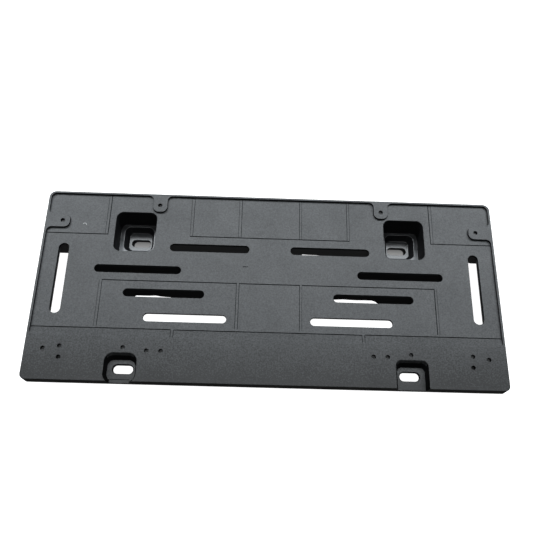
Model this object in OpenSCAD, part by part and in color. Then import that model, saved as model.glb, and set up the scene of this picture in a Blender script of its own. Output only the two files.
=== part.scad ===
// Number plate holder: one plastic moulding that carries a number plate on a bumper.
// Millimetres. The holder lies on its back: X runs along the plate, +Y to its top
// edge, and +Z out of the face. The origin is the bottom centre of the whole holder.

/* [Board] */
// Width of the board, left to right
board_w = 356; // [350:1:372]
// Height of the board, lower edge to top edge
board_h = 154; // [153:1:160]
// Whole depth from the face to the back edge of the skirt
depth = 29; // [28.5:0.5:34]
// Depth of the skirt along the lower edge
low_skirt = 9.3; // [9.3:0.1:13]
// Radius of the board's upper corners
corner_r = 5.5; // [4:0.5:8]
// Radius of the board's lower corners
low_corner_r = 4; // [3.5:0.5:8]
// Wall thickness of the board and the skirt
wall = 2.5; // [2.2:0.1:2.8]

/* [Recess] */
// Width of the thin rim round the recess
rim_w = 1.5; // [1.3:0.1:2]
// Width of the rim at the left and the right
side_rim_w = 1.8; // [1.4:0.1:2]
// Depth of the recess below the rim
recess_d = 2; // [1.2:0.1:2.2]
// Corner radius of the recess
recess_r = 4; // [3:0.5:5]
// Foot of the ramp at the lower end of the recess, from the middle of the board
ramp_foot = -36.6; // [-38:0.1:-36]
// Top of that ramp, where it meets the lower strip
ramp_top = -44; // [-46:0.5:-42]

/* [Plate screws] */
// Distance between the two pilot holes of the top tabs, and of their lower partners
plate_pitch_x = 177.8; // [176:0.2:180]
// Height of the pilot holes in the top tabs
tab_y = 66.85; // [65:0.05:67]
// Height of their lower partners in the strip
low_y = -53.8; // [-55:0.05:-53]
// Distance between the pilot holes of the side tabs
side_pitch_x = 328.9; // [327:0.1:330]
// Height of the pilot holes in the side tabs
side_y = 51; // [49:0.05:51.5]
// Half the width of a tab, and its reach past the pilot hole
tab_r = 5.75; // [5.2:0.05:6]
// Radius of the corners at a tab's end
tab_c = 4.6; // [3.5:0.1:5.1]
// Radius where a tab runs into the rim
tab_fillet = 3.9; // [3:0.1:4.4]
// Diameter of a pilot hole
pilot_d = 3.2; // [3:0.1:4]
// Depth of a pilot hole
pilot_depth = 3; // [2.5:0.1:5.5]

/* [Air slots] */
// Width of a level air slot
slot_w = 6.4; // [5:0.1:7]
// Height of the top row of level slots
slot_row = 31; // [30:0.1:31.2]
// Distance between rows
slot_pitch = 19.4; // [19.2:0.1:19.6]
// Width of an upright air slot
side_slot_w = 8; // [6:0.1:9]
// Length of an upright air slot
side_slot_l = 57.7; // [50:0.1:59]
// Distance of the upright slots from the middle
side_slot_x = 160.8; // [160:0.1:161]

/* [Holder screws] */
// Distance of the four screw slots from the middle
screw_x = 105.8; // [105.4:0.1:106.2]
// Height of the two upper screw slots
screw_top_y = 44.7; // [43.5:0.1:45.5]
// Height of the two lower screw slots
screw_low_y = -66.45; // [-67:0.05:-66]
// Width of a screw slot
screw_slot_w = 6.5; // [5.5:0.1:7]
// Length of an upper screw slot
screw_top_l = 15.6; // [13:0.1:16]
// Length of a lower screw slot
screw_low_l = 14.6; // [13:0.1:15]
// Depth of a well's ledge below the face
ledge_d = 21; // [20:0.5:22]
// Depth of a well's floor below the face
well_d = 26.5; // [25.5:0.1:26.5]
// Depth of a lower pocket's floor below the face
pocket_d = 7; // [6:0.1:7]

/* [Scribed lines] */
// Width of a level scribed line
line_w = 0.75; // [0.5:0.05:0.9]
// Width of a strong upright scribed line
stroke_w = 0.6; // [0.4:0.05:0.8]
// Width of a fine upright scribed line
fine_w = 0.4; // [0.3:0.05:0.6]
// Width of the faint scribed lines beside others
hair_w = 0.25; // [0.2:0.05:0.4]
// Depth of a scribed line
line_d = 0.6; // [0.2:0.05:0.8]

/* [Hidden] */
face = depth;                       // level of the rim, the tabs and the lower strip
floor_z = depth - recess_d;         // level of the recess
top = board_h/2;
side = board_w/2;
rec_x = side - side_rim_w;               // edge of the recess, left and right
rec_y = top - rim_w - 0.1;          // edge of the recess at the top
under = floor_z - wall;             // underside of the recess
low_z = depth - low_skirt;          // back edge of the lower skirt
boss_d = pilot_depth + 2;            // depth of the bosses behind the pilot holes
eps = 0.01;
$fn = 48;

// Level slots of the right half: [inner end, outer end] in each row, top row first
slot_ends = [[16.2, 78.5], [68.5, 135.4], [49.5, 111.2], [31.7, 94.3]];

// Pilot holes of the right half in the lower strip
strip_pilots = [[plate_pitch_x/2, low_y], [78.4, low_y], [106.35, low_y + 2],
                [152.5, low_y + 2], [side_pitch_x/2, low_y], [152.1, low_y - 6.3]];

// Rounded rectangle between two corners
module rrect(x0, y0, x1, y1, r) {
    translate([x0 + r, y0]) square([x1 - x0 - 2*r, y1 - y0]);
    translate([x0, y0 + r]) square([x1 - x0, y1 - y0 - 2*r]);
    for (x = [x0 + r, x1 - r], y = [y0 + r, y1 - r]) translate([x, y]) circle(r);
}

// Plan of the board, drawn in by a wall
module board_plan(g) {
    rrect(-side + g, -20, side - g, top - g, corner_r - g);
    rrect(-side + g, -top + g, side - g, 20, low_corner_r - g);
}

// Slot with round ends between two points on a level line
module obround(x0, x1, y, w) {
    translate([x0 + w/2, y - w/2]) square([x1 - x0 - w, w]);
    for (x = [x0 + w/2, x1 - w/2]) translate([x, y]) circle(w/2);
}

module both() { children(); mirror([1, 0, 0]) children(); }

// Box between two corners
module block(a, b) { translate(a) cube([b[0] - a[0], b[1] - a[1], b[2] - a[2]]); }

// Plan of a tab that hangs from a straight edge at y = h, with its pilot hole at the origin
module tab_plan(h) {
    g = tab_r - tab_c;
    for (s = [-1, 1]) translate([s*g, -g]) circle(tab_c);
    translate([-g, -tab_r]) square([2*g, tab_r]);
    translate([-tab_r, -g]) square([2*tab_r, h + 3 + g]);
    difference() {
        translate([-tab_r - tab_fillet, h - tab_fillet])
            square([2*(tab_r + tab_fillet), tab_fillet + 3]);
        for (s = [-1, 1]) translate([s*(tab_r + tab_fillet), h - tab_fillet]) circle(tab_fillet);
    }
}

// Plan of the recess: everything inside the rim, less the four tabs
module recess_plan() {
    difference() {
        rrect(-rec_x, ramp_top, rec_x, rec_y, recess_r);
        for (s = [-1, 1]) {
            translate([s*plate_pitch_x/2, tab_y]) tab_plan(rec_y - tab_y);
            translate([s*side_pitch_x/2, side_y]) rotate(-s*90) tab_plan(rec_x - side_pitch_x/2);
        }
    }
}

// The recess with its ramp up to the lower strip
module recess() {
    difference() {
        translate([0, 0, floor_z]) linear_extrude(recess_d + 1) recess_plan();
        rotate([90, 0, 90]) translate([0, 0, -side]) linear_extrude(board_w)
            polygon([[ramp_foot, floor_z - 1], [ramp_foot, floor_z], [ramp_top, face],
                     [ramp_top - 2, face + 2], [ramp_top - 8, face + 2], [ramp_top - 8, floor_z - 1]]);
    }
}

// Profile in the Y-Z plane, drawn out along X between two ends
module along_x(x0, x1) { translate([x0, 0, 0]) rotate([90, 0, 90]) linear_extrude(x1 - x0) children(); }

// Profile in the X-Z plane, drawn out along Y between two ends
module along_y(y0, y1) { translate([0, y1, 0]) rotate([90, 0, 0]) linear_extrude(y1 - y0) children(); }

// Board and skirt, hollow at the back
module shell() {
    difference() {
        linear_extrude(face) board_plan(0);
        translate([0, 0, -1]) linear_extrude(under + 1) board_plan(wall);
        translate([0, 0, under - 1]) linear_extrude(recess_d + 1)
            rrect(-side + wall, -top + wall, side - wall, ramp_top - wall, low_corner_r - wall);
    }
}

// Stiffening ribs of the back
module ribs() {
    h = under + 1;
    // level ribs behind the upper edges of the three upper slot rows
    along_y(slot_row + slot_w/2 + 0.1, slot_row + slot_w/2 + 2.1)
        polygon([[-side + 1, h], [-side + 1, 2.4], [-148, 2.4], [-142, 9], [142, 9], [159, 8.7],
                 [166, 6], [side - 1, 6], [side - 1, h]]);
    along_y(slot_row - slot_pitch + slot_w/2 + 0.1, slot_row - slot_pitch + slot_w/2 + 2.1)
        polygon([[-147, h], [-147, 10], [147, 10], [147, h]]);
    along_y(slot_row - 2*slot_pitch + slot_w/2 + 0.1, slot_row - 2*slot_pitch + slot_w/2 + 2.1)
        polygon([[-147, h], [-147, 7.5], [-106.5, 7.5], [-103.8, 11.6], [-94, 11.7], [-88.3, 12.6],
                 [-84.7, 10.9], [-80.6, 10], [-77.5, 9.8], [-72.5, 7.5], [30, 8], [38, 15], [51.5, 15],
                 [58, 16.2], [67.3, 15.2], [80.6, 15.6], [83.7, 13.4], [86.7, 9.6], [88.7, 8],
                 [147, 8], [147, h]]);
    // upright rib in the middle
    block([-1, -top + 1, 6], [1, top - 1, h]);
    // low walls along the outer edges of the upright slots
    both() block([side_slot_x + side_slot_w/2 + 0.2, -29, 21.5], [side_slot_x + side_slot_w/2 + 2.2, 34.4, h]);
}

// Boxes behind the wells and the pockets
module back_boxes() {
    both() {
        linear_extrude(under + 1) rrect(88, 24.2, 125.3, 63.6, 7);
        translate([0, 0, low_z]) linear_extrude(low_skirt - 0.5) rrect(92.3, -top + 1, 121.7, -52.8, 4);
    }
}

// Bosses behind the pilot holes
module bosses() {
    both() {
        for (p = strip_pilots) translate([p[0], p[1], face - boss_d]) cylinder(h = boss_d - 1, d = 8);
        translate([plate_pitch_x/2, tab_y, face - boss_d]) cylinder(h = boss_d - 1, d = 8);
        translate([side_pitch_x/2, side_y, face - boss_d]) cylinder(h = boss_d - 1, d = 8);
    }
}

// Part of the back cut away towards the lower edge, where the skirt is shallow
module low_cut() {
    along_x(-side - 1, side + 1)
        polygon([[-top - 1, -1], [-top - 1, low_z], [-top + 4, low_z], [-36, 0], [-36, -1]]);
}

// Tapered hollow: a rounded rectangle at level za that turns into another at level zb
module tapered(a, ra, za, b, rb, zb) {
    hull() {
        for (x = [a[0] + ra, a[2] - ra], y = [a[1] + ra, a[3] - ra])
            translate([x, y, za]) cylinder(h = eps, r = ra, $fn = 32);
        for (x = [b[0] + rb, b[2] - rb], y = [b[1] + rb, b[3] - rb])
            translate([x, y, zb]) cylinder(h = eps, r = rb, $fn = 32);
    }
}

// Deep well for an upper holder screw: drafted walls, a ledge, a second pocket and a screw slot
module well() {
    tapered([90.7, 26.6, 122.95, 61.1], 5.6, face + 0.5,
            [91.4, 28, 122.3, 59], 4.6, face - ledge_d);
    tapered([95.1, 35.4, 119.1, 57.2], 5.2, face - ledge_d + eps,
            [97, 38, 115.7, 54], 3.8, face - well_d);
    translate([0, 0, -1]) linear_extrude(face - well_d + 2)
        obround(screw_x - screw_top_l/2, screw_x + screw_top_l/2, screw_top_y, screw_slot_w);
}

// Screw slot through a lower pocket's floor
module low_screw() {
    translate([0, 0, low_z - 1]) linear_extrude(low_skirt - pocket_d + 2)
        obround(screw_x - screw_low_l/2, screw_x + screw_low_l/2, screw_low_y, screw_slot_w);
}

// Right pocket: open over its whole width at the lower edge
module right_pocket() {
    intersection() {
        tapered([94.5, -95, 119.1, -55.2], 4.5, face + 0.5,
                [96.7, -95, 117.3, -59.5], 3.5, face - pocket_d);
        block([90, -85, 0], [125, -50, face + 1]);
    }
    low_screw();
}

// Left pocket: round corners leave a narrower mouth, with a groove across the floor behind it
module left_pocket() {
    tapered([-119.1, -78.3, -95, -55.2], 6.5, face + 0.5,
            [-117.3, -75.2, -96.8, -59.5], 5, face - pocket_d);
    along_y(-80, -72) polygon([[-115, face - pocket_d], [-100.3, face - pocket_d], [-98.6, face + 1], [-116.6, face + 1]]);
    block([-114.9, -74.5, face - pocket_d - line_d], [-100.4, -73.9, face - pocket_d + 1]);
    mirror([1, 0, 0]) low_screw();
}

// Scribed line on the recess, level or upright
module level_line(x0, x1, y) { block([x0, y - line_w/2, floor_z - line_d], [x1, y + line_w/2, floor_z + 1]); }
module upright_line(x, y0, y1, w) { block([x - w/2, y0, floor_z - line_d], [x + w/2, y1, floor_z + 1]); }

// Scribed lines: boxes on the recess and ticks across the ramp
module lines() {
    e = fine_w/2;
    yt = rec_y - 0.2;
    // upper corner boxes
    both() {
        level_line(128.1 - stroke_w/2, rec_x - 0.2, 40.8);
        upright_line(128.1, 40.8, yt, stroke_w);
        upright_line(130.3, 40.8, yt, hair_w);
    }
    // upper middle boxes
    for (x = [-61.4, -23.1, 23.2, 61.3]) upright_line(x, 41, yt, fine_w);
    for (x = [-63.6, -25.35, 24.95, 63.2]) upright_line(x, 41, yt, hair_w);
    level_line(-63.6, 63.2, 41);
    // lower boxes
    upright_line(128, -34.9, 2, stroke_w);
    for (x = [-128.05, -25.15, -23.05, 23.5]) upright_line(x, -34.9, 2, fine_w);
    for (x = [-130.2, 25.3, 129.8]) upright_line(x, -34.9, 2, hair_w);
    level_line(-128.05 - e, -25.15 + e, 2.05);
    level_line(-23.05 - e, 23.5 + e, 1.95);
    level_line(25.3, 128, 1.95);
    // foot of the ramp
    level_line(-rec_x + 0.2, -72.9, ramp_foot);
    level_line(-70.5, 70.5, ramp_foot - 0.2);
    level_line(72.9, rec_x - 0.2, ramp_foot);
    // ticks across the ramp
    for (x = [-72.6, -70.5, 70.5, 72.6])
        along_x(x - e, x + e)
            polygon([[ramp_foot, floor_z - line_d], [ramp_foot - 6.4, floor_z - line_d + 6.4*recess_d/(ramp_foot - ramp_top)],
                     [ramp_foot - 6.4, face + 1], [ramp_foot, face + 1]]);
}

// All pilot holes
module pilots() {
    both() {
        for (p = strip_pilots) translate([p[0], p[1], face - pilot_depth]) cylinder(h = pilot_depth + 1, d = pilot_d);
        translate([plate_pitch_x/2, tab_y, face - pilot_depth]) cylinder(h = pilot_depth + 1, d = pilot_d);
        translate([side_pitch_x/2, side_y, face - pilot_depth]) cylinder(h = pilot_depth + 1, d = pilot_d);
    }
}

// Air slots through the board
module air_slots() {
    translate([0, 0, under - 2]) linear_extrude(wall + 4) {
        for (s = [-1, 1], i = [0:3])
            if (s > 0) obround(slot_ends[i][0], slot_ends[i][1], slot_row - i*slot_pitch, slot_w);
            else obround(-slot_ends[i][1], -slot_ends[i][0], slot_row - i*slot_pitch, slot_w);
        for (s = [-1, 1]) translate([s*side_slot_x, 3.1]) rotate(90)
            obround(-side_slot_l/2, side_slot_l/2, 0, side_slot_w);
    }
}

// The whole moulding
module plate_holder() {
    color([0.13, 0.13, 0.14])
    difference() {
        union() {
            difference() {
                union() { shell(); ribs(); bosses(); }
                low_cut();
            }
            back_boxes();
        }
        recess();
        air_slots();
        well();
        mirror([1, 0, 0]) well();
        right_pocket();
        left_pocket();
        pilots();
        lines();
    }
}

plate_holder();
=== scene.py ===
import math
import bpy
from mathutils import Matrix, Vector


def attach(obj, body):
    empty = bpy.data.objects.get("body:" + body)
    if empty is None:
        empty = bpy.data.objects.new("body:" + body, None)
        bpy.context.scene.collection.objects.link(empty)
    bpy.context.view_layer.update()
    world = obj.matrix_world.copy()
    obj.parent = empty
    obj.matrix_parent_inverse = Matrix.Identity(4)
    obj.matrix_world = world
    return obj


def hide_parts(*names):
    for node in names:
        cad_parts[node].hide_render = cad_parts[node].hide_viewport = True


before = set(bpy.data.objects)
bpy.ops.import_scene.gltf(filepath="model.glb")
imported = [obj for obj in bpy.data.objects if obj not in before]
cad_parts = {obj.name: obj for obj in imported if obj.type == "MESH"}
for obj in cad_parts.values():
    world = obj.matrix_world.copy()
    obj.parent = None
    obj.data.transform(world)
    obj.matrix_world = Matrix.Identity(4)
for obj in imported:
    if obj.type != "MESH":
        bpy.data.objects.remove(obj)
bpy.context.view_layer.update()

# ---------------------------------------------------------------- sizes, mm
DEPTH, BW, BH = 29.0, 356.0, 154.0
TOP, SIDE = BH/2, BW/2
LOW_Z = DEPTH - 9.3
RECESS = 2.0
FLOOR = DEPTH - RECESS
WALL = 2.5
UNDER = FLOOR - WALL
REC_X, REC_Y = SIDE - 1.8, TOP - 1.6
REC_R = 4.0
RAMP_FOOT, RAMP_TOP = -36.6, -44.0
TAB_R, TAB_C, TAB_F = 5.75, 4.6, 3.9
TAB = (88.9, 66.85)
SIDE_TAB = (164.45, 51.0)
STRIP_PILOTS = [(88.9, -53.8), (78.4, -53.8), (106.35, -51.8),
                (152.5, -51.8), (164.45, -53.8), (152.1, -60.1)]
PILOT_R, PILOT_D = 1.6, 3.0
SLOTS = [(16.2, 78.5, 31.0), (68.5, 135.4, 11.6), (49.5, 111.2, -7.8), (31.7, 94.3, -27.2)]
SLOT_W = 6.4
SIDE_SLOT = (160.8, 3.1, 57.7, 8.0)
SCREW_X, SCREW_W = 105.8, 6.5
SCREW_TOP, SCREW_LOW = (44.7, 15.6), (-66.45, 14.6)


# ---------------------------------------------------------------- outlines, counter-clockwise
def arc(cx, cy, r, a0, a1, n=12):
    return [(cx + r*math.cos(math.radians(a0 + (a1 - a0)*i/n)),
             cy + r*math.sin(math.radians(a0 + (a1 - a0)*i/n))) for i in range(n + 1)]


def rrect(x0, y0, x1, y1, r, n=12):
    p = []
    for cx, cy, a in ((x1 - r, y0 + r, -90), (x1 - r, y1 - r, 0), (x0 + r, y1 - r, 90), (x0 + r, y0 + r, 180)):
        p += arc(cx, cy, r, a, a + 90, n)
    return p


def board(g=0.0, n=20):
    """Outline of the board, drawn in by g."""
    p = []
    for cx, cy, r, a in ((SIDE - 4, -TOP + 4, 4, -90), (SIDE - 5.5, TOP - 5.5, 5.5, 0),
                         (-SIDE + 5.5, TOP - 5.5, 5.5, 90), (-SIDE + 4, -TOP + 4, 4, 180)):
        p += arc(cx, cy, r - g, a, a + 90, n)
    return p


def obround(x0, x1, y, w, n=20):
    r = w/2
    return arc(x1 - r, y, r, -90, 90, n) + arc(x0 + r, y, r, 90, 270, n)


def upright(x, y0, y1, w, n=20):
    r = w/2
    return arc(x, y1 - r, r, 0, 180, n) + arc(x, y0 + r, r, 180, 360, n)


def circle(cx, cy, r, n=36):
    return arc(cx, cy, r, 0, 360*(n - 1)/n, n - 1)


def flip(loop):
    return [(-x, y) for x, y in reversed(loop)]


def both(loop):
    return [loop, flip(loop)]


def offset(loop, d):
    """The loop moved outward by d, mitred."""
    if abs(d) < 1e-9:
        return list(loop)
    out = []
    n = len(loop)
    for i in range(n):
        (ax, ay), (bx, by), (cx, cy) = loop[i - 1], loop[i], loop[(i + 1) % n]
        ux, uy, vx, vy = bx - ax, by - ay, cx - bx, cy - by
        lu, lv = math.hypot(ux, uy), math.hypot(vx, vy)
        n1, n2 = (uy/lu, -ux/lu), (vy/lv, -vx/lv)
        k = 1 + n1[0]*n2[0] + n1[1]*n2[1]
        out.append((bx + d*(n1[0] + n2[0])/k, by + d*(n1[1] + n2[1])/k))
    return out


def recess_loop():
    r, f, t, c = REC_R, TAB_F, TAB_R, TAB_C
    g = t - c
    sx, sy = SIDE_TAB
    tx, ty = TAB
    half = arc(REC_X - r, RAMP_TOP + r, r, -90, 0)
    half += arc(REC_X - f, sy - t - f, f, 0, 90)
    half += arc(sx - g, sy - g, c, 270, 180)
    half += arc(sx - g, sy + g, c, 180, 90)
    half += arc(REC_X - f, sy + t + f, f, -90, 0)
    half += arc(REC_X - r, REC_Y - r, r, 0, 90)
    half += arc(tx + t + f, REC_Y - f, f, 90, 180)
    half += arc(tx + g, ty - g, c, 0, -90)
    half += arc(tx - g, ty - g, c, -90, -180)
    half += arc(tx - t - f, REC_Y - f, f, 0, 90)
    return half + flip(half)


# ---------------------------------------------------------------- solids
class Shape:
    """Closed shells in mm, gathered into one mesh."""

    def __init__(self):
        self.v, self.f = [], []

    def rings(self, rings):
        """Skin over rings of equal length, each [(x, y, z)], from the lowest to the highest."""
        n, o = len(rings[0]), len(self.v)
        for ring in rings:
            self.v += ring
        self.f.append([o + i for i in reversed(range(n))])
        for k in range(len(rings) - 1):
            a, b = o + k*n, o + (k + 1)*n
            self.f += [[a + i, a + (i + 1) % n, b + (i + 1) % n, b + i] for i in range(n)]
        self.f.append([o + (len(rings) - 1)*n + i for i in range(n)])
        return self

    def block(self, a, b):
        return self.rings([[(a[0], a[1], z), (b[0], a[1], z), (b[0], b[1], z), (a[0], b[1], z)] for z in (a[2], b[2])])

    def along_x(self, x0, x1, profile):
        """profile: [(y, z)] counter-clockwise as seen from +X."""
        n, o = len(profile), len(self.v)
        self.v += [(x0, y, z) for y, z in profile] + [(x1, y, z) for y, z in profile]
        self.f += [[o + i for i in reversed(range(n))], [o + n + i for i in range(n)]]
        self.f += [[o + i, o + (i + 1) % n, o + n + (i + 1) % n, o + n + i] for i in range(n)]
        return self

    def along_y(self, y0, y1, profile):
        """profile: [(x, z)] counter-clockwise as seen from -Y."""
        n, o = len(profile), len(self.v)
        self.v += [(x, y0, z) for x, z in profile] + [(x, y1, z) for x, z in profile]
        self.f += [[o + i for i in range(n)], [o + n + i for i in reversed(range(n))]]
        self.f += [[o + (i + 1) % n, o + i, o + n + i, o + n + (i + 1) % n] for i in range(n)]
        return self

    def mesh(self, name):
        m = bpy.data.meshes.new(name)
        m.from_pydata([tuple(c*0.001 for c in v) for v in self.v], [], self.f)
        m.update()
        return m


def flare(r, z, up=1, steps=(0, 22.5, 45, 67.5, 90), past=0.5):
    """Offsets and levels of a cutter that leaves a round edge of radius r at level z."""
    out = [(r*(1 - math.cos(math.radians(a))), z - up*r*(1 - math.sin(math.radians(a)))) for a in steps]
    (d0, z0), (d1, z1) = out[-2:]
    out.append((d1 + 0.5*(d1 - d0), z1 + 0.5*(z1 - z0)))
    out.append((d1 + 0.5*(d1 - d0), z + up*past))
    return out


def hole(shape, loop, zb, zt, rb=0.0, rt=0.3):
    """Straight cutter from zb to zt with round edges where it leaves the material."""
    prof = list(reversed(flare(rb, zb, -1))) if rb else [(0.0, zb)]
    prof += flare(rt, zt) if rt else [(0.0, zt)]
    return shape.rings([[(x, y, z) for x, y in offset(loop, d)] for d, z in prof])


def taper(shape, levels, zt, rt, foot=0.0):
    """Cutter whose outline runs through levels [(z, loop)] from the lowest up, with a round edge at level zt."""
    def at(z):
        k = 0
        while k < len(levels) - 2 and z > levels[k + 1][0]:
            k += 1
        (z0, low), (z1, high) = levels[k], levels[k + 1]
        t = (z - z0)/(z1 - z0)
        return [(a[0] + (b[0] - a[0])*t, a[1] + (b[1] - a[1])*t) for a, b in zip(low, high)]
    zl = levels[0][0]
    prof = [(0.0, zl)]
    if foot:
        prof = [(-foot*(1 - math.sin(math.radians(a))), zl + foot*(1 - math.cos(math.radians(a)))) for a in (0, 22.5, 45, 67.5, 90)]
    prof += [(0.0, z) for z, loop in levels[1:-1]]
    prof += flare(rt, zt)
    return shape.rings([[(x, y, z) for x, y in offset(at(z), d)] for d, z in prof])


def solid(loop, zb, zt, rb=0.0, rt=0.0, steps=(0, 22.5, 45, 67.5, 90)):
    """Rings of a standing solid with round edges."""
    prof = []
    if rb:
        prof += [(-rb*(1 - math.cos(math.radians(a))), zb + rb*(1 - math.sin(math.radians(a)))) for a in reversed(steps)]
    else:
        prof.append((0.0, zb))
    if rt:
        prof += [(-rt*(1 - math.cos(math.radians(a))), zt - rt*(1 - math.sin(math.radians(a)))) for a in steps]
    else:
        prof.append((0.0, zt))
    return [[(x, y, z) for x, y in offset(loop, d)] for d, z in prof]


def thing(shape, name):
    o = bpy.data.objects.new(name, shape.mesh(name))
    bpy.context.scene.collection.objects.link(o)
    return o


def boolean(a, shape, how):
    """Joins a shape to object a, or cuts it out of it."""
    b = shape if isinstance(shape, bpy.types.Object) else thing(shape, "tool")
    m = a.modifiers.new("b", "BOOLEAN")
    m.operation, m.object, m.solver = how, b, "MANIFOLD"
    bpy.context.view_layer.update()
    new = bpy.data.meshes.new_from_object(a.evaluated_get(bpy.context.evaluated_depsgraph_get()))
    a.modifiers.clear()
    old = a.data
    a.data = new
    bpy.data.meshes.remove(old)
    bpy.data.meshes.remove(b.data)
    return a


def cut(a, shape):
    return boolean(a, shape, "DIFFERENCE")


def add(a, shape):
    return boolean(a, shape, "UNION")


# ---------------------------------------------------------------- the moulding
E = 0.25                                    # radius of the small edges
body = thing(Shape().rings(solid(board(), 0, DEPTH, 0.4, 0.3)), "holder")

# hollow of the back
inner = (-SIDE + WALL, -TOP + WALL, SIDE - WALL, TOP - WALL)
cut(body, hole(Shape(), board(WALL), -1, UNDER, 0, 0))
cut(body, Shape().rings([[(x, y, z) for x, y in rrect(inner[0], inner[1], inner[2], RAMP_TOP - WALL, 1.5)]
                         for z in (UNDER - 1, UNDER + RECESS)]))

# ribs of the back
y1, y2, y3 = (SLOTS[i][2] + SLOT_W/2 + 0.1 for i in range(3))
h = UNDER + 1
ribs = Shape()
ribs.along_y(y1, y1 + 2, [(-177, h), (-177, 2.4), (-148, 2.4), (-142, 9), (25.4, 9), (26.4, 13.9), (28.2, 13.5), (31, 13.2), (34, 13.1), (38, 13), (43, 12.2), (44, 9), (142, 9), (159, 8.7), (166, 6), (177, 6), (177, h)])
ribs.along_y(y2, y2 + 2, [(-147, h), (-147, 10), (147, 10), (147, h)])
ribs.along_y(y3, y3 + 2, [(-147, h), (-147, 7.5), (-106.5, 7.5), (-103.8, 11.6), (-94, 11.7), (-88.3, 12.6),
                          (-84.7, 10.9), (-80.6, 10), (-77.5, 9.8), (-72.5, 7.5), (30, 8), (38, 15), (51.5, 15),
                          (58, 16.2), (67.3, 15.2), (80.6, 15.6), (83.7, 13.4), (86.7, 9.6), (88.7, 8),
                          (147, 8), (147, h)])
add(body, ribs)
add(body, Shape().block((-1, -TOP + 1, 6), (1, TOP - 1, h)))
low = Shape()
for s in (-1, 1):
    a, b = sorted((s*(SIDE_SLOT[0] + 4.2), s*(SIDE_SLOT[0] + 6.2)))
    low.block((a, -29, 21.5), (b, 34.4, h))
add(body, low)
bosses = Shape()
for p in STRIP_PILOTS + [TAB, SIDE_TAB]:
    for loop in both(circle(p[0], p[1], 4)):
        bosses.rings(solid(loop, DEPTH - PILOT_D - 2, DEPTH - 1, 0.4, 0))
add(body, bosses)

# shallow skirt towards the lower edge
cut(body, Shape().along_x(-SIDE - 1, SIDE + 1,
                          [(-TOP - 1, -1), (-36, -1), (-36, 0), (-TOP + 4, LOW_Z), (-TOP - 1, LOW_Z)]))

# boxes behind the wells and the pockets
boxes = Shape()
for loop in both(rrect(88, 24.2, 125.3, 63.6, 7)):
    boxes.rings(solid(loop, 0, UNDER + 1, 0.8, 0))
add(body, boxes)
boxes = Shape()
for loop in both(rrect(92.3, -TOP + 1, 121.7, -52.8, 4)):
    boxes.rings(solid(loop, LOW_Z, DEPTH - 0.5, 0.4, 0))
add(body, boxes)

# recess, its floor rising to the strip at the lower end
rec = thing(Shape().rings([[(x, y, z) for x, y in offset(recess_loop(), d)]
                           for d, z in [(0.0, FLOOR)] + flare(E, DEPTH)]), "rec")
cut(rec, Shape().along_x(-SIDE, SIDE, [(RAMP_FOOT, FLOOR - 1), (RAMP_FOOT, FLOOR), (RAMP_TOP, DEPTH),
                                       (RAMP_TOP - 2, DEPTH + 2), (RAMP_TOP - 8, DEPTH + 2), (RAMP_TOP - 8, FLOOR - 1)]))
cut(body, rec)

# air slots
slots = Shape()
for a, b, y in SLOTS:
    for loop in both(obround(a, b, y, SLOT_W)):
        hole(slots, loop, UNDER, FLOOR, 0.3, 0.2)
x, y, l, w = SIDE_SLOT
for loop in both(upright(x, y - l/2, y + l/2, w)):
    hole(slots, loop, UNDER, FLOOR, 0.3, 0.2)
cut(body, slots)

# wells, with a ledge and a second pocket
wells, wells2, screws = Shape(), Shape(), Shape()
for m in (lambda q: q, flip):
    taper(wells, [(DEPTH - 21, m(rrect(91.4, 28, 122.3, 59, 4.6))), (DEPTH + 0.5, m(rrect(90.7, 26.6, 122.95, 61.1, 5.6)))], FLOOR, 0.4, 0.3)
    taper(wells2, [(DEPTH - 26.5, m(rrect(97, 38, 115.7, 54, 3.8))), (DEPTH - 21, m(rrect(95.1, 35.4, 119.1, 57.2, 5.2)))], DEPTH - 21, 0.2, 0.4)
    hole(screws, m(obround(SCREW_X - SCREW_TOP[1]/2, SCREW_X + SCREW_TOP[1]/2, SCREW_TOP[0], SCREW_W)), 0, DEPTH - 26.5, 0.15, 0.15)
    loop = m(obround(SCREW_X - SCREW_LOW[1]/2, SCREW_X + SCREW_LOW[1]/2, SCREW_LOW[0], SCREW_W))
    screws.rings([[(x, y, z) for x, y in offset(loop, d)] for d, z in
                  ((0, LOW_Z - 1), (0, DEPTH - 7.9), (0.5, DEPTH - 7.15), (0.65, DEPTH - 7), (0.65, DEPTH - 6))])
cut(body, wells)
cut(body, wells2)

# lower pockets: the right one open over its whole width, the left one with a narrower mouth
pockets = Shape()
taper(pockets, [(DEPTH - 7, rrect(96.7, -95, 117.3, -59.5, 3.5)), (DEPTH - 2.2, rrect(95.2, -95, 118.2, -57.2, 4.2)),
                (DEPTH + 0.5, rrect(94.6, -95, 119, -55.3, 4.5))], DEPTH, 0.3, 0.3)
taper(pockets, [(DEPTH - 7, rrect(-117.3, -75.2, -96.8, -59.5, 5)), (DEPTH - 2.2, rrect(-118.2, -76.9, -95.6, -57.2, 6)),
                (DEPTH + 0.5, rrect(-119, -78.3, -95.1, -55.3, 6.5))], DEPTH, 0.3, 0.2)
cut(body, pockets)
mouth = Shape()
taper(mouth, [(DEPTH - 7, [(-115, -80), (-100.3, -80), (-100.3, -72), (-115, -72)]),
              (DEPTH + 0.5, [(-116.4, -80), (-98.8, -80), (-98.8, -72), (-116.4, -72)])], DEPTH, 0.4)
cut(body, mouth)
cut(body, Shape().block((-114.9, -74.5, DEPTH - 7.5), (-100.4, -73.9, DEPTH - 6)))
lip = Shape()
for x0, x1 in ((96.75, 117.25), (-114.95, -100.35)):
    lip.along_x(x0, x1, [(-TOP - 0.3, DEPTH - 6.8), (-TOP - 0.3, DEPTH - 7.5)]
                + [(y, z - 7) for y, z in arc(-TOP + 0.5, DEPTH - 0.5, 0.5, 180, 90, 4)] + [(-TOP + 0.5, DEPTH - 6.8)])
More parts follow.
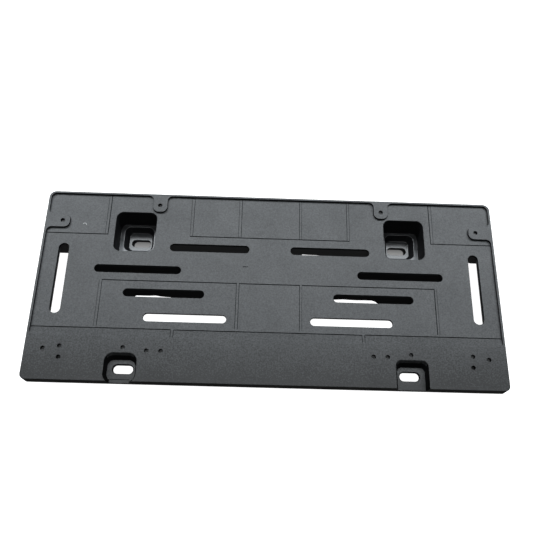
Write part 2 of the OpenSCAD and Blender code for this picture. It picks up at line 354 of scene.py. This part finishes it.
cut(body, lip)
cut(body, screws)

# pilot holes
pil = Shape()
for p in STRIP_PILOTS + [TAB, SIDE_TAB]:
    for loop in both(circle(p[0], p[1], PILOT_R)):
        hole(pil, loop, DEPTH - PILOT_D, DEPTH, 0, 0.2)
cut(body, pil)

# scribed lines
zl, yt = FLOOR - 0.6, REC_Y - 0.2
STROKE, FINE, HAIR = 0.3, 0.2, 0.125        # half widths
up, hair, lev, tick = Shape(), Shape(), Shape(), Shape()


def upright_line(x, y0, y1, e):
    (hair if e == HAIR else up).block((x - e, y0, zl), (x + e, y1, FLOOR + 1))


def level_line(x0, x1, y, e=0.375):
    lev.block((x0, y - e, zl), (x1, y + e, FLOOR + 1))


for s in (-1, 1):
    a, b = sorted((s*(128.1 - STROKE), s*(REC_X - 0.2)))
    level_line(a, b, 40.8)
    upright_line(s*128.1, 40.8, yt, STROKE)
    upright_line(s*130.3, 40.8, yt, HAIR)
for x in (-61.4, -23.1, 23.2, 61.3):
    upright_line(x, 41, yt, FINE)
for x in (-63.6, -25.35, 24.95, 63.2):
    upright_line(x, 41, yt, HAIR)
level_line(-63.6, 63.2, 41)
upright_line(128, -34.9, 2, STROKE)
for x in (-128.05, -25.15, -23.05, 23.5):
    upright_line(x, -34.9, 2, FINE)
for x in (-130.2, 25.3, 129.8):
    upright_line(x, -34.9, 2, HAIR)
level_line(-128.05 - FINE, -25.15 + FINE, 2.05)
level_line(-23.05 - FINE, 23.5 + FINE, 1.95)
level_line(25.3, 128, 1.95)
level_line(-REC_X + 0.2, -72.9, RAMP_FOOT)
level_line(-70.5, 70.5, RAMP_FOOT - 0.2)
level_line(72.9, REC_X - 0.2, RAMP_FOOT)
for x in (-72.6, -70.5, 70.5, 72.6):
    tick.along_x(x - FINE, x + FINE, [(RAMP_FOOT, zl), (RAMP_FOOT, DEPTH + 1), (RAMP_FOOT - 6.4, DEPTH + 1),
                                      (RAMP_FOOT - 6.4, zl + 6.4*RECESS/(RAMP_FOOT - RAMP_TOP))])
cut(body, up)
cut(body, hair)
cut(body, lev)
cut(body, tick)

# a pale scuff and a small nick on the recess
marks = Shape()
ring = arc(-147.3, 48.5, 1.7, -15, 160, 16) + arc(-147.3, 48.5, 1.1, 160, -15, 16)
marks.rings([[(x, y, z) for x, y in ring] for z in (FLOOR - 0.03, FLOOR + 1)])
marks.block((-20.7, 15.9, FLOOR - 0.5), (-17.9, 16.6, FLOOR + 1))
marks.block((-17.4, 16.1, FLOOR - 0.5), (-16.7, 16.8, FLOOR + 1))
cut(body, marks)

me = body.data
me.name = "holder"


def set_normals(me, limit=math.radians(31)):
    """Flat faces keep their own normal, and the narrow faces of round edges blend between them."""
    n_f = len(me.polygons)
    nor = [p.normal.copy() for p in me.polygons]
    area = [p.area*1e6 for p in me.polygons]
    by_edge, length = {}, {}
    for p in me.polygons:
        for k in p.edge_keys:
            by_edge.setdefault(k, []).append(p.index)
    root = list(range(n_f))

    def find(i):
        while root[i] != i:
            root[i] = root[root[i]]
            i = root[i]
        return i

    flat_cos = math.cos(math.radians(0.3))
    for k, fs in by_edge.items():
        length[k] = (me.vertices[k[0]].co - me.vertices[k[1]].co).length*1000
        if len(fs) == 2 and nor[fs[0]].dot(nor[fs[1]]) > flat_cos:
            root[find(fs[0])] = find(fs[1])
    total, rim = {}, {}
    for i in range(n_f):
        total[find(i)] = total.get(find(i), 0) + area[i]
    for k, fs in by_edge.items():
        g = {find(f) for f in fs}
        if len(g) > 1 or len(fs) == 1:
            for q in g:
                rim[q] = rim.get(q, 0) + length[k]
    flat = [2*total[find(i)]/max(rim.get(find(i), 1e9), 1e-9) > 0.8 for i in range(n_f)]
    at = {}
    for p in me.polygons:
        for v in p.vertices:
            at.setdefault(v, []).append(p.index)
    lim = math.cos(limit)
    out = [None]*len(me.loops)
    for p in me.polygons:
        i = p.index
        for li in p.loop_indices:
            if flat[i]:
                out[li] = nor[i]
                continue
            near = [f for f in at[me.loops[li].vertex_index] if nor[f].dot(nor[i]) > lim]
            flats = [f for f in near if flat[f]]
            if flats:
                out[li] = nor[max(flats, key=lambda f: nor[f].dot(nor[i]))]
                continue
            groups = {}
            for f in near:
                groups[find(f)] = nor[f]
            v = sum(groups.values(), Vector((0, 0, 0)))
            out[li] = v.normalized() if v.length > 1e-6 else nor[i]
    for p in me.polygons:
        p.use_smooth = True
    me.normals_split_custom_set([tuple(v) for v in out])


set_normals(me)


# ---------------------------------------------------------------- looks
def plastic(name, base, rough_low, rough_high, spec=0.5, grain=1.0, lit_rise=None):
    mat = bpy.data.materials.new(name)
    mat.use_nodes = True
    nt = mat.node_tree
    nt.nodes.clear()
    out = nt.nodes.new("ShaderNodeOutputMaterial")
    bs = nt.nodes.new("ShaderNodeBsdfPrincipled")
    nt.links.new(bs.outputs[0], out.inputs[0])
    co = nt.nodes.new("ShaderNodeTexCoord")

    def noise(scale, detail, rough=0.5):
        n = nt.nodes.new("ShaderNodeTexNoise")
        n.inputs["Scale"].default_value = scale
        n.inputs["Detail"].default_value = detail
        n.inputs["Roughness"].default_value = rough
        nt.links.new(co.outputs["Object"], n.inputs["Vector"])
        return n

    def ranged(value, a, b, c, d):
        m = nt.nodes.new("ShaderNodeMapRange")
        m.inputs[1].default_value, m.inputs[2].default_value = a, b
        m.inputs[3].default_value, m.inputs[4].default_value = c, d
        nt.links.new(value, m.inputs[0])
        return m.outputs[0]

    def math_(op, a, b):
        m = nt.nodes.new("ShaderNodeMath")
        m.operation = op
        for i, v in enumerate((a, b)):
            if isinstance(v, (int, float)):
                m.inputs[i].default_value = v
            else:
                nt.links.new(v, m.inputs[i])
        return m.outputs[0]

    sep = nt.nodes.new("ShaderNodeSeparateXYZ")
    nt.links.new(co.outputs["Object"], sep.inputs[0])
    strip = ranged(sep.outputs[1], -0.0374, -0.0366, 1.0, 0.0)      # 1 on the ramp and the lower strip
    low = ranged(sep.outputs[1], -0.077, -0.044, 1.0, 0.0)          # grows towards the lower edge: painted shade where the light falls off
    cloud = noise(22, 4)
    fine = ranged(noise(900, 2).outputs["Fac"], 0.3, 0.7, -0.5*grain, 0.5*grain)
    blot = ranged(noise(470, 2).outputs["Fac"], 0.3, 0.7, -0.26*grain, 0.26*grain)
    speckle = math_("ADD", fine, math_("MULTIPLY", blot, math_("ADD", 0.6, math_("MULTIPLY", strip, 0.2))))
    tone = ranged(cloud.outputs["Fac"], 0.3, 0.7, 0.97, 1.03)
    # darker on the ramp and the lower strip, and darker still towards the lower edge and the skirt face; the part
    # growing towards the lower edge is painted shade
    tone = math_("MULTIPLY", tone, math_("SUBTRACT", 1.0, math_("MULTIPLY", strip, math_("ADD", 0.27, math_("MULTIPLY", low, 0.78)))))
    corner_sheen_x = ranged(math_("ABSOLUTE", sep.outputs[0], 0), 0.09, 0.165, 0.0, 1.0)
    high = ranged(sep.outputs[1], 0.0, 0.065, 0.0, 1.0)
    tone = math_("MULTIPLY", tone, math_("ADD", 1.0, math_("MULTIPLY", math_("MULTIPLY", corner_sheen_x, high), 0.27)))   # painted sheen: paler upper corners
    tone = math_("MAXIMUM", math_("ADD", tone, speckle), 0.03)
    if lit_rise:                                                        # painted light: paler towards the lower end of a well, where the upper wall no longer blocks the lamp's reflection
        tone = math_("MULTIPLY", tone, ranged(sep.outputs[1], lit_rise[0], lit_rise[1], lit_rise[2], 1.0))
    mix = nt.nodes.new("ShaderNodeVectorMath")
    mix.operation = "SCALE"
    mix.inputs[0].default_value = base
    nt.links.new(tone, mix.inputs["Scale"])
    nt.links.new(mix.outputs[0], bs.inputs["Base Color"])
    rough = math_("ADD", ranged(noise(60, 5).outputs["Fac"], 0.3, 0.7, rough_low, rough_high), math_("MULTIPLY", strip, 0.06*grain))
    nt.links.new(rough, bs.inputs["Roughness"])
    bs.inputs["IOR"].default_value = 1.5
    bs.inputs["Specular IOR Level"].default_value = spec
    bump = nt.nodes.new("ShaderNodeBump")
    bump.inputs["Strength"].default_value = 0.6*grain
    bump.inputs["Distance"].default_value = 0.00012
    nt.links.new(noise(1400, 3, 0.6).outputs["Fac"], bump.inputs["Height"])
    nt.links.new(bump.outputs[0], bs.inputs["Normal"])
    return mat


body.data.materials.clear()
body.data.materials.append(plastic("black_plastic", (0.028, 0.0295, 0.031), 0.46, 0.52))
# smooth_inside and smooth_floor are glossier, and carry painted light, paler towards the lower end of each well
body.data.materials.append(plastic("smooth_inside", (0.032, 0.033, 0.0345), 0.17, 0.21, 0.5, 0.2, (0.0355, 0.0445, 5.0)))
# painted shade: a much darker, duller copy of the plastic for walls, grooves and other faces that lie in shade
body.data.materials.append(plastic("dull_shaded_wall", (0.007, 0.0072, 0.008), 0.6, 0.66, 0.1, grain=0.3))
body.data.materials.append(plastic("back", (0.028, 0.0295, 0.031), 0.38, 0.44, grain=0.5))
body.data.materials.append(plastic("smooth_floor", (0.026, 0.027, 0.0285), 0.14, 0.18, 0.45, 0.2, (0.038, 0.0425, 4.0)))
# painted light: a paler copy of the plastic for the pocket floors
body.data.materials.append(plastic("lit_pocket_floor", (0.045, 0.046, 0.048), 0.36, 0.42, grain=0.5))
# painted light: a much paler copy of the plastic for the floors of the pilot holes
body.data.materials.append(plastic("lit_pilot_floor", (0.17, 0.171, 0.175), 0.4, 0.46, grain=0.3))
# painted highlight: a pale, glossy copy of the plastic for the round edge of the second pockets
body.data.materials.append(plastic("painted_highlight_edge", (0.1, 0.102, 0.105), 0.12, 0.16, grain=0.2))
body.data.materials.append(plastic("scuff", (0.2, 0.2, 0.2), 0.4, 0.46, grain=0.3))


def near_pilot(c):
    return any(math.hypot(abs(c.x) - x, c.y - y) < PILOT_R for x, y in STRIP_PILOTS + [TAB, SIDE_TAB])


for p in body.data.polygons:
    c, n = p.center*1000, p.normal
    kind = 0
    if abs(c.x) > SIDE - 0.75 or abs(c.y) > TOP - 0.75:
        kind = 0                                                     # outside of the skirt
    elif n.z < -0.3 or (c.z < UNDER - 0.3 and not (88 < abs(c.x) < 125.3 and (24.2 < c.y < 63.6 or c.y < -52.8))):
        kind = 2 if n.y < -0.5 and c.z < UNDER - 0.3 and abs(c.y) < 30 else 3    # underside and ribs; rib faces towards -Y take the darker wall plastic as painted shade
    elif 7.5 < c.z < 7.99 and 0.15 < n.z < 0.99 and c.y > 24:
        kind = 7                                                     # round edge of the second pockets, with a painted highlight
    elif c.z < 26.65 and n.z > 0.85:
        kind = 4 if c.z < 3 else 5 if c.y < -54 else 1               # floors of the wells, floors of the pockets, ledges; painted light: well floors and ledges paler towards their lower ends, pocket floors a paler copy of the plastic
    elif c.z < 26.65:
        kind = 2                                                     # walls of the wells, pockets and slots, painted in shade with the darker wall plastic
    elif FLOOR - 0.4 < c.z < FLOOR - 0.01 and 90 < abs(c.x) < 91.6 and 27 < c.y < 61 and n.z < 0.97:
        kind = 2                                                     # inner edges of the wells, painted in shade
    elif FLOOR + 0.02 < c.z < DEPTH - 0.005 and (abs(n.z) < 0.5 or (n.z < 0.97 and abs(n.y) < 0.5*abs(n.x) and c.y > RAMP_FOOT and abs(c.x) < REC_X - 1)):
        kind = 2                                                     # sides of the recess, the tabs and the pilot holes, painted in shade
    if kind < 3 and n.z > 0.9 and abs(c.z - DEPTH + PILOT_D) < 0.05 and near_pilot(c):
        kind = 6                                                     # floors of the pilot holes, a pale copy of the plastic: painted light on the lit floor
    if FLOOR - 0.65 < c.z < FLOOR - 0.2 and c.y > RAMP_FOOT - 1 and (abs(n.z) < 0.05 or (n.z > 0.99 and c.z < FLOOR - 0.55)):
        kind = 2                                                     # scribed lines, painted in shade inside the grooves
    if abs(abs(c.x) - 71.55) < 1.5 and RAMP_FOOT - 5.5 < c.y < RAMP_FOOT and c.z < FLOOR + (RAMP_FOOT - c.y)*RECESS/(RAMP_FOOT - RAMP_TOP) - 0.2:
        kind = 2                                                     # ticks on the ramp, painted in shade inside the grooves
    if FLOOR - 0.04 < c.z < FLOOR - 0.005 and math.hypot(c.x + 147.3, c.y - 48.5) < 2:
        kind = 8                                                     # scuff
    if FLOOR - 0.51 < c.z < FLOOR - 0.01 and -20.8 < c.x < -16.6 and 15.8 < c.y < 16.9:
        kind = 2                                                     # nick, painted in shade inside the hollow
    p.material_index = kind
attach(body, "root")
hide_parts("plate_holder")


# ---------------------------------------------------------------- stage
def glow(name, value, strength):
    mat = bpy.data.materials.new(name)
    mat.use_nodes = True
    bs = mat.node_tree.nodes["Principled BSDF"]
    bs.inputs["Base Color"].default_value = (value, value, value, 1)
    bs.inputs["Roughness"].default_value = 1.0
    bs.inputs["Specular IOR Level"].default_value = 0.0
    bs.inputs["Emission Color"].default_value = (1, 1, 1, 1)
    bs.inputs["Emission Strength"].default_value = strength
    return mat


def plane(name, size, z, mat):
    m = bpy.data.meshes.new(name)
    m.from_pydata([(-size, -size, z), (size, -size, z), (size, size, z), (-size, size, z)], [], [[0, 1, 2, 3]])
    o = bpy.data.objects.new(name, m)
    bpy.context.scene.collection.objects.link(o)
    m.materials.append(mat)
    return o


floor = plane("floor", 6, -0.0004, glow("floor", 0.5, 1.05))
# painted shadow and painted light under the well slots: a dark sheet, and on it a glowing patch, brighter towards -Y,
# for the lit floor seen through each slot
shade = glow("floor_shade", 0.01, 0.002)
light_pool = glow("floor_light_pool", 0.01, 1.0)
nt = light_pool.node_tree
co, sep, ran = nt.nodes.new("ShaderNodeTexCoord"), nt.nodes.new("ShaderNodeSeparateXYZ"), nt.nodes.new("ShaderNodeMapRange")
nt.links.new(co.outputs["Object"], sep.inputs[0])
nt.links.new(sep.outputs[1], ran.inputs[0])
for k, v in zip((1, 2, 3, 4), (-0.0026, 0.0026, 0.30, 0.15)):
    ran.inputs[k].default_value = v
nt.links.new(ran.outputs[0], nt.nodes["Principled BSDF"].inputs["Emission Strength"])
under = []
for name, s in (("left", -1), ("right", 1)):
    under.append(plane("shade_" + name, 0.013, -0.0003, shade))
    m = bpy.data.meshes.new("light_pool_" + name)
    ring = obround(-8.1, 6.1, -0.55, 6.6)
    m.from_pydata([(s*x*0.001, y*0.001, -0.0002) for x, y in ring], [], [list(range(len(ring)))[::s]])
    m.materials.append(light_pool)
    under.append(bpy.data.objects.new("light_pool_" + name, m))
    bpy.context.scene.collection.objects.link(under[-1])
    for o in under[-2:]:
        o.location = (s*SCREW_X*0.001, SCREW_TOP[0]*0.001, 0)
for o in [floor] + under:
    o.visible_diffuse = False
    o.visible_glossy = False

world = bpy.data.worlds.new("studio")
bpy.context.scene.world = world
world.use_nodes = True
world.node_tree.nodes["Background"].inputs[0].default_value = (1, 1, 1, 1)
world.node_tree.nodes["Background"].inputs[1].default_value = 0.06


def area(name, pos, at, sx, sy, power, color=(1, 1, 1)):
    l = bpy.data.lights.new(name, "AREA")
    l.shape, l.size, l.size_y, l.energy, l.color = "RECTANGLE", sx, sy, power, color
    o = bpy.data.objects.new(name, l)
    o.location = pos
    o.rotation_euler = (Vector(at) - Vector(pos)).to_track_quat("-Z", "Y").to_euler()
    bpy.context.scene.collection.objects.link(o)
    return o


area("key", (0.0, 0.62, 1.05), (0, 0.0, 0.02), 2.9, 0.5, 33.0, (0.915, 0.965, 1.0))
area("fill", (0.0, -0.35, 1.25), (0, 0.0, 0.02), 1.2, 0.4, 4.5, (0.95, 0.98, 1.0))

scene = bpy.context.scene
scene.view_settings.view_transform = "Standard"

# ---------------------------------------------------------------- camera, at the photo's angle
TH, RZ, ROLL = 1.1750268577, 0.0592888034, 0.0845882226
TX, TY, TZ = -3.7702, 8.7573, 505.4069
st, ct = math.sin(TH), math.cos(TH)
right, upv, fwd = Vector((1, 0, 0)), Vector((0, st, ct)), Vector((0, ct, -st))
r2 = math.cos(ROLL)*right + math.sin(ROLL)*upv
u2 = -math.sin(ROLL)*right + math.cos(ROLL)*upv
place = Matrix((r2, u2, -fwd)).transposed().to_4x4()
place.translation = Vector((-TX, TY*st - TZ*ct, TY*ct + TZ*st))
place = Matrix.Rotation(-RZ, 4, "Z") @ place
place.translation = (place.translation + Vector((0, 0, DEPTH)))*0.001
cam = bpy.data.cameras.new("camera")
cam.sensor_width, cam.lens = 36, 659/550*36
cam.clip_start, cam.clip_end = 0.01, 50
cam_o = bpy.data.objects.new("camera", cam)
cam_o.matrix_world = place
scene.collection.objects.link(cam_o)
scene.camera = cam_o
